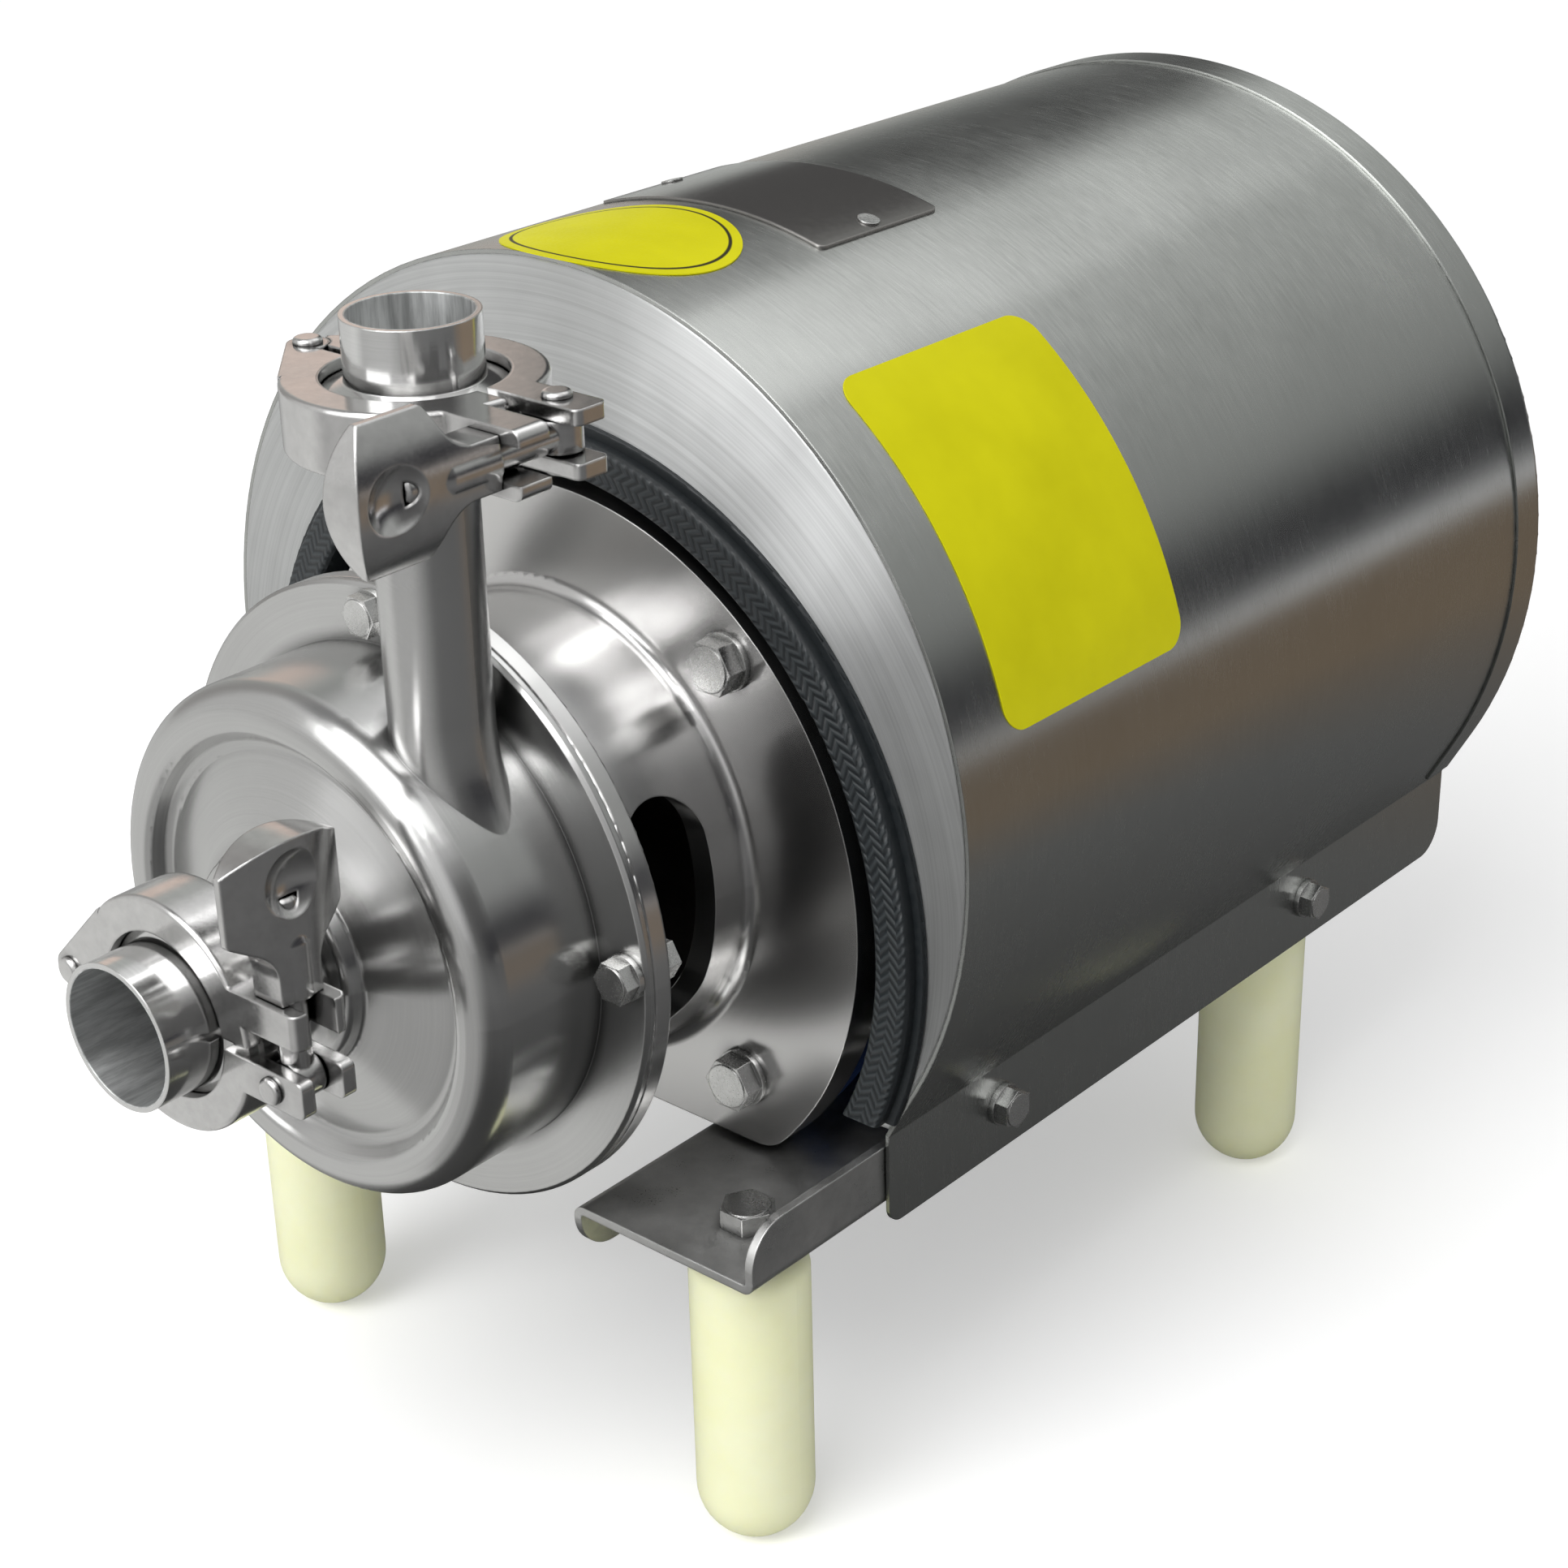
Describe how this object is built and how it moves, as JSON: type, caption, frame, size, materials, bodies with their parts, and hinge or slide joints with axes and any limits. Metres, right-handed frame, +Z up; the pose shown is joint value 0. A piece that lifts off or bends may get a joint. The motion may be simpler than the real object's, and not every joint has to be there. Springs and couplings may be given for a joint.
{
  "type": "sanitary centrifugal pump",
  "caption": "Stainless sanitary centrifugal pump: round bowl with clamped suction and discharge stubs, window lantern, flange motor under a rolled cover, rails on nylon feet.",
  "frame": {"origin": "centre of the open face of the suction stub, on the shaft's axis", "axes": "+Y along the shaft towards the motor, +Z up along the discharge pipe, +X to the side on which the discharge pipe stands"},
  "size_m": [0.2676, 0.4367, 0.34],
  "materials": {
    "satin_steel": "satin turned and polished stainless steel",
    "polished_steel": "polished stainless steel",
    "clamp_steel": "investment-cast stainless steel, tumbled bright",
    "brushed_cover": "sheet brushed round its length",
    "brushed_ring": "sheet brushed in rings",
    "rail_steel": "bent sheet, dull",
    "bolt_steel": "stainless fasteners",
    "shaft_steel": "ground",
    "core_steel": "stacked sheets, varnished",
    "winding_copper": "varnished copper wire",
    "blue_paint": "dark blue semi-gloss paint",
    "black_plastic": "moulded",
    "ivory_nylon": "turned nylon rod",
    "black_rubber": "moulded rubber",
    "gasket_rubber": "pale silicone",
    "seal_ceramic": "lapped seal faces",
    "yellow_vinyl": "printed film, blank",
    "dark_plate": "dark etched metal plate, blank"
  },
  "bodies": {
    "pump_set": {"pump_casing": "satin_steel", "back_plate": "satin_steel", "lantern": "satin_steel", "casing_bolts": "bolt_steel", "lantern_bolts": "bolt_steel", "motor_foot_bolts": "bolt_steel", "foot_bolts": "bolt_steel", "shroud_bolts": "bolt_steel", "lid_screws": "bolt_steel", "cowl_screws": "bolt_steel", "base_rail_right": "rail_steel", "base_rail_left": "rail_steel", "shroud_shell": "brushed_cover", "shroud_front_ring": "brushed_ring", "shroud_rear_cap": "brushed_cover", "suction_stub": "polished_steel", "discharge_stub": "polished_steel", "suction_gasket": "gasket_rubber", "discharge_gasket": "gasket_rubber", "casing_o_ring": "black_rubber", "seat_o_ring": "black_rubber", "opening_trim": "black_rubber", "seal_seat": "seal_ceramic", "stator_core": "core_steel", "stator_windings": "winding_copper", "bearing_outer_rings": "shaft_steel", "motor_front_shield": "blue_paint", "motor_housing": "blue_paint", "motor_rear_shield": "blue_paint", "terminal_box": "blue_paint", "terminal_lid": "blue_paint", "fan_cowl": "blue_paint", "cable_gland": "black_plastic", "nylon_feet": "ivory_nylon", "nameplate": "dark_plate", "nameplate_rivets": "polished_steel", "oval_sticker": "yellow_vinyl", "side_sticker": "yellow_vinyl", "suction_clamp_fixed_jaw": "clamp_steel", "suction_clamp_pins": "clamp_steel", "discharge_clamp_fixed_jaw": "clamp_steel", "discharge_clamp_pins": "clamp_steel"},
    "rotor": {"motor_shaft": "shaft_steel", "rotor_core": "core_steel", "pump_shaft": "polished_steel", "impeller": "satin_steel", "impeller_nut": "polished_steel", "seal_head": "seal_ceramic", "seal_spring": "polished_steel", "cooling_fan": "black_plastic", "bearing_inner_rings": "shaft_steel", "bearing_balls": "shaft_steel"},
    "suction_jaw": {"suction_clamp_hinged_jaw": "clamp_steel"},
    "suction_bolt": {"suction_clamp_swing_bolt": "clamp_steel"},
    "suction_nut": {"suction_clamp_wing_nut": "clamp_steel"},
    "discharge_jaw": {"discharge_clamp_hinged_jaw": "clamp_steel"},
    "discharge_bolt": {"discharge_clamp_swing_bolt": "clamp_steel"},
    "discharge_nut": {"discharge_clamp_wing_nut": "clamp_steel"}
  },
  "joints": [
    {"name": "rotor_turn", "type": "hinge", "parent": "pump_set", "child": "rotor", "pos_m": [0, 0.178, 0], "axis": [0, 1, 0], "continuous": true},
    {"name": "suction_jaw_hinge", "type": "hinge", "parent": "pump_set", "child": "suction_jaw", "pos_m": [-0.036, 0.022, 0], "axis": [0, -1, 0], "range_deg": [0, 10]},
    {"name": "suction_bolt_swing", "type": "hinge", "parent": "pump_set", "child": "suction_bolt", "pos_m": [0.038, 0.022, -0.0065], "axis": [0, 1, 0], "range_deg": [0, 55]},
    {"name": "suction_nut_travel", "type": "slide", "parent": "suction_bolt", "child": "suction_nut", "axis": [0, 0, 1], "range_m": [0, 0.0215]},
    {"name": "discharge_jaw_hinge", "type": "hinge", "parent": "pump_set", "child": "discharge_jaw", "pos_m": [0.0004, 0.0762, 0.142], "axis": [0, 0, -1], "range_deg": [0, 10]},
    {"name": "discharge_bolt_swing", "type": "hinge", "parent": "pump_set", "child": "discharge_bolt", "pos_m": [0.0744, 0.0827, 0.142], "axis": [0, 0, 1], "range_deg": [0, 55]},
    {"name": "discharge_nut_travel", "type": "slide", "parent": "discharge_bolt", "child": "discharge_nut", "axis": [0, -1, 0], "range_m": [0, 0.0215]}
  ],
  "couplings": [
    {"joint": "suction_bolt_swing", "follows": "suction_jaw_hinge", "ratio": 5.5},
    {"joint": "suction_nut_travel", "follows": "suction_jaw_hinge", "m_per_rad": 0.12318},
    {"joint": "discharge_bolt_swing", "follows": "discharge_jaw_hinge", "ratio": 5.5},
    {"joint": "discharge_nut_travel", "follows": "discharge_jaw_hinge", "m_per_rad": 0.12318}
  ]
}
